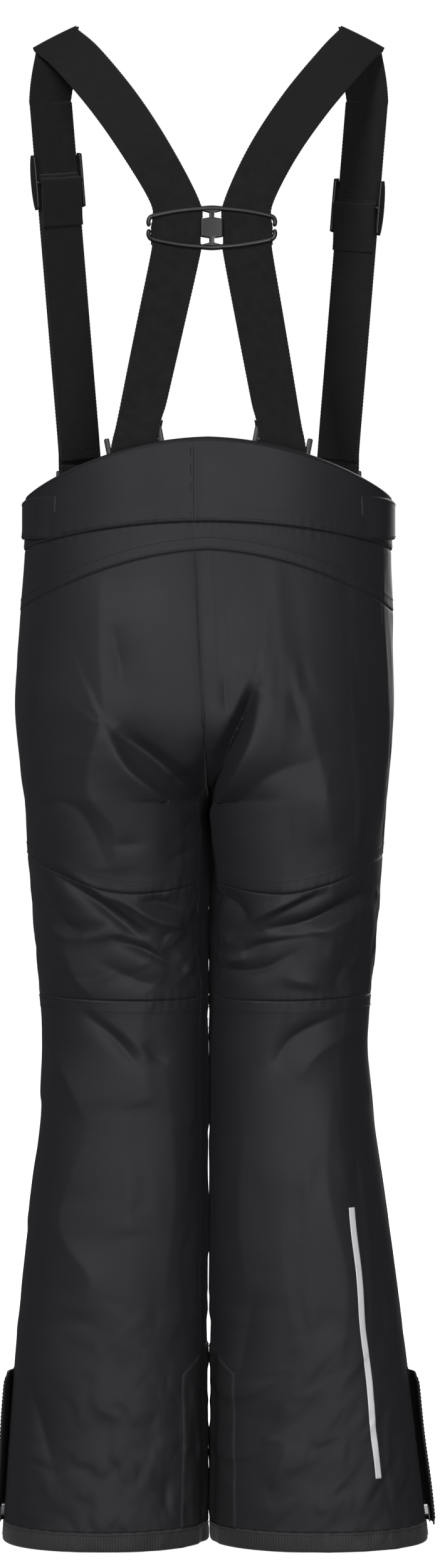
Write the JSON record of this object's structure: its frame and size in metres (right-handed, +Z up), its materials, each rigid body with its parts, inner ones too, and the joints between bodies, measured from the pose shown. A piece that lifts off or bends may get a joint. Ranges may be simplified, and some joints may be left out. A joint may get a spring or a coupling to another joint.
{
  "type": "ski trousers",
  "caption": "Padded ski trousers with a raised back waistband, zipped fly, pockets and ankle vents, snow gaiters, and detachable elastic braces held by a keeper plate at the back.",
  "frame": {"origin": "on the floor, midway between the two hems", "axes": "+Z up, the front of the trousers faces -Y, the wearer's left is +X"},
  "size_m": [0.366, 0.208, 1.2534],
  "materials": {
    "shell_cloth": "matte coated twill with a soft sheen",
    "scuff_cloth": "matte hard-wearing plain weave",
    "lining_cloth": "smooth thin lining",
    "hem_binding": "coarse basket weave tape",
    "elastic_webbing": "fine ribbed elastic",
    "webbing": "woven tape",
    "fuzzy_pad": "brushed loops",
    "black_plastic": "satin moulded",
    "hook_plastic": "scuffed satin",
    "zip_tape": "woven tape and coil",
    "zip_metal": "black enamel",
    "pull_plastic": "matte moulded",
    "snap_metal": "black enamel",
    "reflective_film": "silver retro-reflective film"
  },
  "bodies": {
    "trousers": {"ankle_patch_left": "scuff_cloth", "ankle_patch_right": "scuff_cloth", "ankle_zip_left": "zip_tape", "ankle_zip_right": "zip_tape", "brace_loops": "webbing", "fly_zip": "zip_tape", "front_panel_left": "shell_cloth", "front_panel_right": "shell_cloth", "hem_binding_left": "hem_binding", "hem_binding_right": "hem_binding", "knee_back_left": "shell_cloth", "knee_back_right": "shell_cloth", "knee_front_left": "shell_cloth", "knee_front_right": "shell_cloth", "lining": "lining_cloth", "pocket_zip_left": "zip_tape", "pocket_zip_right": "zip_tape", "reflective_strip": "reflective_film", "seat_panel_left": "shell_cloth", "seat_panel_right": "shell_cloth", "shin_back_left": "shell_cloth", "shin_back_right": "shell_cloth", "shin_front_left": "shell_cloth", "shin_front_right": "shell_cloth", "snow_gaiter_left": "lining_cloth", "snow_gaiter_right": "lining_cloth", "strap_left": "elastic_webbing", "strap_lower_left": "elastic_webbing", "strap_lower_right": "elastic_webbing", "strap_right": "elastic_webbing", "strap_tail_left": "elastic_webbing", "strap_tail_right": "elastic_webbing", "tab_loop_pads": "fuzzy_pad", "waist_snaps": "snap_metal", "waistband_back": "shell_cloth", "waistband_front_left": "shell_cloth", "waistband_front_right": "shell_cloth", "yoke_back_left": "shell_cloth", "yoke_back_right": "shell_cloth"},
    "back_plate": {"back_plate": "black_plastic"},
    "adjuster_left": {"adjuster_left": "black_plastic"},
    "front_hook_left": {"front_hook_left": "hook_plastic"},
    "back_hook_left": {"back_hook_left": "hook_plastic"},
    "waist_tab_left": {"waist_tab_left": "shell_cloth"},
    "ankle_slider_left": {"ankle_slider_left": "zip_metal", "ankle_pull_left": "pull_plastic"},
    "vent_flap_left": {"vent_flap_left": "shell_cloth"},
    "pocket_slider_left": {"pocket_slider_left": "zip_metal"},
    "pocket_pull_left": {"pocket_pull_left": "pull_plastic"},
    "adjuster_right": {"adjuster_right": "black_plastic"},
    "front_hook_right": {"front_hook_right": "hook_plastic"},
    "back_hook_right": {"back_hook_right": "hook_plastic"},
    "waist_tab_right": {"waist_tab_right": "shell_cloth"},
    "ankle_slider_right": {"ankle_slider_right": "zip_metal", "ankle_pull_right": "pull_plastic"},
    "vent_flap_right": {"vent_flap_right": "shell_cloth"},
    "pocket_slider_right": {"pocket_slider_right": "zip_metal"},
    "pocket_pull_right": {"pocket_pull_right": "pull_plastic"},
    "fly_slider": {"fly_slider": "zip_metal"},
    "fly_pull": {"fly_pull": "pull_plastic"}
  },
  "joints": [
    {"name": "back_plate_slide", "type": "slide", "parent": "trousers", "child": "back_plate", "axis": [0, 0, 1], "range_m": [-0.025, 0.025], "deforming": ["strap_left", "strap_right", "strap_lower_left", "strap_lower_right"]},
    {"name": "adjuster_left_slide", "type": "slide", "parent": "trousers", "child": "adjuster_left", "axis": [0.0769, 0.142, 0.9869], "range_m": [-0.11, 0.04], "deforming": ["strap_tail_left"]},
    {"name": "front_hook_left_swing", "type": "hinge", "parent": "trousers", "child": "front_hook_left", "pos_m": [0.1073, -0.0576, 0.878], "axis": [0.8387, 0.5446, 0], "range_deg": [-3, 8]},
    {"name": "back_hook_left_swing", "type": "hinge", "parent": "trousers", "child": "back_hook_left", "pos_m": [0.0595, 0.076, 0.899], "axis": [-0.9954, 0.0958, 0], "range_deg": [-3, 8]},
    {"name": "waist_tab_left_hinge", "type": "hinge", "parent": "trousers", "child": "waist_tab_left", "pos_m": [0.1252, 0.06, 0.841], "axis": [0, 0, 1], "range_deg": [0, 80]},
    {"name": "ankle_slider_left_slide", "type": "slide", "parent": "trousers", "child": "ankle_slider_left", "axis": [-0.069, 0, 0.9976], "range_m": [0, 0.108]},
    {"name": "vent_flap_left_hinge", "type": "hinge", "parent": "trousers", "child": "vent_flap_left", "pos_m": [0.16503, -0.0185, 0.07176], "axis": [0.069, 0, -0.9976], "range_deg": [0, 75]},
    {"name": "pocket_slider_left_slide", "type": "slide", "parent": "trousers", "child": "pocket_slider_left", "axis": [-0.0541, 0.0703, 0.9961], "range_m": [-0.088, 0]},
    {"name": "pocket_pull_left_swing", "type": "hinge", "parent": "pocket_slider_left", "child": "pocket_pull_left", "pos_m": [0.12548, -0.06488, 0.8009], "axis": [-0.7924, -0.61, 0], "range_deg": [0, 170]},
    {"name": "adjuster_right_slide", "type": "slide", "parent": "trousers", "child": "adjuster_right", "axis": [-0.0769, 0.142, 0.9869], "range_m": [-0.11, 0.04], "deforming": ["strap_tail_right"]},
    {"name": "front_hook_right_swing", "type": "hinge", "parent": "trousers", "child": "front_hook_right", "pos_m": [-0.1073, -0.0576, 0.878], "axis": [0.8387, -0.5446, 0], "range_deg": [-3, 8]},
    {"name": "back_hook_right_swing", "type": "hinge", "parent": "trousers", "child": "back_hook_right", "pos_m": [-0.0595, 0.076, 0.899], "axis": [-0.9954, -0.0958, 0], "range_deg": [-3, 8]},
    {"name": "waist_tab_right_hinge", "type": "hinge", "parent": "trousers", "child": "waist_tab_right", "pos_m": [-0.1252, 0.06, 0.841], "axis": [0, 0, -1], "range_deg": [0, 80]},
    {"name": "ankle_slider_right_slide", "type": "slide", "parent": "trousers", "child": "ankle_slider_right", "axis": [0.1187, 0, 0.9929], "range_m": [0, 0.108]},
    {"name": "vent_flap_right_hinge", "type": "hinge", "parent": "trousers", "child": "vent_flap_right", "pos_m": [-0.17246, -0.0185, 0.07139], "axis": [0.1187, 0, 0.9929], "range_deg": [0, 75]},
    {"name": "pocket_slider_right_slide", "type": "slide", "parent": "trousers", "child": "pocket_slider_right", "axis": [0.0337, 0.0438, 0.9985], "range_m": [-0.088, 0]},
    {"name": "pocket_pull_right_swing", "type": "hinge", "parent": "pocket_slider_right", "child": "pocket_pull_right", "pos_m": [-0.12013, -0.06753, 0.80103], "axis": [-0.7924, 0.61, 0], "range_deg": [0, 170]},
    {"name": "fly_slider_slide", "type": "slide", "parent": "trousers", "child": "fly_slider", "axis": [0, 0.0551, 0.9985], "range_m": [-0.098, 0]},
    {"name": "fly_pull_swing", "type": "hinge", "parent": "fly_slider", "child": "fly_pull", "pos_m": [0.00372, -0.09768, 0.81002], "axis": [-1, 0, 0], "range_deg": [0, 170]}
  ]
}
